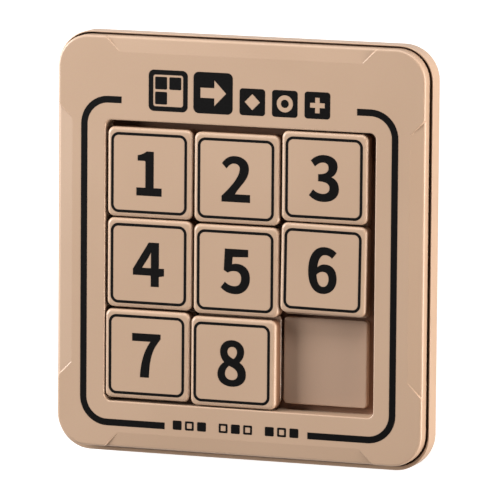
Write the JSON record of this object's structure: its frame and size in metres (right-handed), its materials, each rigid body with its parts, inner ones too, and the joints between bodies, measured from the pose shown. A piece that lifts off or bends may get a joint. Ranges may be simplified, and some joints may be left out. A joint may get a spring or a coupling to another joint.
{
  "type": "sliding tile puzzle",
  "caption": "Square-celled sliding number puzzle: a two-shell plastic case with a square well of raised pads, magnetic numbered tiles and one empty cell.",
  "frame": {"origin": "bottom centre of the lower shell, on the flat face that the puzzle lies on", "axes": "+Z out of the playing face, +Y towards the top of the numbers, +X to the right of the numbers"},
  "size_m": [0.0972, 0.1044, 0.011],
  "materials": {
    "case_plastic": "satin moulded ABS, peach beige",
    "tile_plastic": "satin moulded ABS, peach beige, slightly lighter than the case",
    "black_ink": "black pad-printing ink, half matt",
    "zinc_steel": "bright zinc-plated steel",
    "magnet_nickel": "nickel-plated sintered magnet"
  },
  "bodies": {
    "case": {"upper_shell": "case_plastic", "lower_shell": "case_plastic", "screw_1": "zinc_steel", "screw_2": "zinc_steel", "screw_3": "zinc_steel", "screw_4": "zinc_steel", "steel_square_1": "zinc_steel", "steel_square_2": "zinc_steel", "steel_square_3": "zinc_steel", "steel_square_4": "zinc_steel", "steel_square_5": "zinc_steel", "steel_square_6": "zinc_steel", "steel_square_7": "zinc_steel", "steel_square_8": "zinc_steel", "steel_square_9": "zinc_steel"},
    "tile_1": {"tile_1_cap": "tile_plastic", "tile_1_cover": "tile_plastic", "tile_1_magnet": "magnet_nickel"},
    "tile_2": {"tile_2_cap": "tile_plastic", "tile_2_cover": "tile_plastic", "tile_2_magnet": "magnet_nickel"},
    "tile_3": {"tile_3_cap": "tile_plastic", "tile_3_cover": "tile_plastic", "tile_3_magnet": "magnet_nickel"},
    "tile_4": {"tile_4_cap": "tile_plastic", "tile_4_cover": "tile_plastic", "tile_4_magnet": "magnet_nickel"},
    "tile_5": {"tile_5_cap": "tile_plastic", "tile_5_cover": "tile_plastic", "tile_5_magnet": "magnet_nickel"},
    "tile_6": {"tile_6_cap": "tile_plastic", "tile_6_cover": "tile_plastic", "tile_6_magnet": "magnet_nickel"},
    "tile_7": {"tile_7_cap": "tile_plastic", "tile_7_cover": "tile_plastic", "tile_7_magnet": "magnet_nickel"},
    "tile_8": {"tile_8_cap": "tile_plastic", "tile_8_cover": "tile_plastic", "tile_8_magnet": "magnet_nickel"}
  },
  "joints": [
    {"name": "tile_1_lift", "type": "slide", "parent": "case", "child": "tile_1", "axis": [0, 0, 1], "range_m": [0, 0.012]},
    {"name": "tile_2_lift", "type": "slide", "parent": "case", "child": "tile_2", "axis": [0, 0, 1], "range_m": [0, 0.012]},
    {"name": "tile_3_lift", "type": "slide", "parent": "case", "child": "tile_3", "axis": [0, 0, 1], "range_m": [0, 0.012]},
    {"name": "tile_4_lift", "type": "slide", "parent": "case", "child": "tile_4", "axis": [0, 0, 1], "range_m": [0, 0.012]},
    {"name": "tile_5_lift", "type": "slide", "parent": "case", "child": "tile_5", "axis": [0, 0, 1], "range_m": [0, 0.012]},
    {"name": "tile_6_slide", "type": "slide", "parent": "case", "child": "tile_6", "axis": [0, 1, 0], "range_m": [-0.0243, 0]},
    {"name": "tile_7_lift", "type": "slide", "parent": "case", "child": "tile_7", "axis": [0, 0, 1], "range_m": [0, 0.012]},
    {"name": "tile_8_slide", "type": "slide", "parent": "case", "child": "tile_8", "axis": [1, 0, 0], "range_m": [0, 0.0252]}
  ]
}
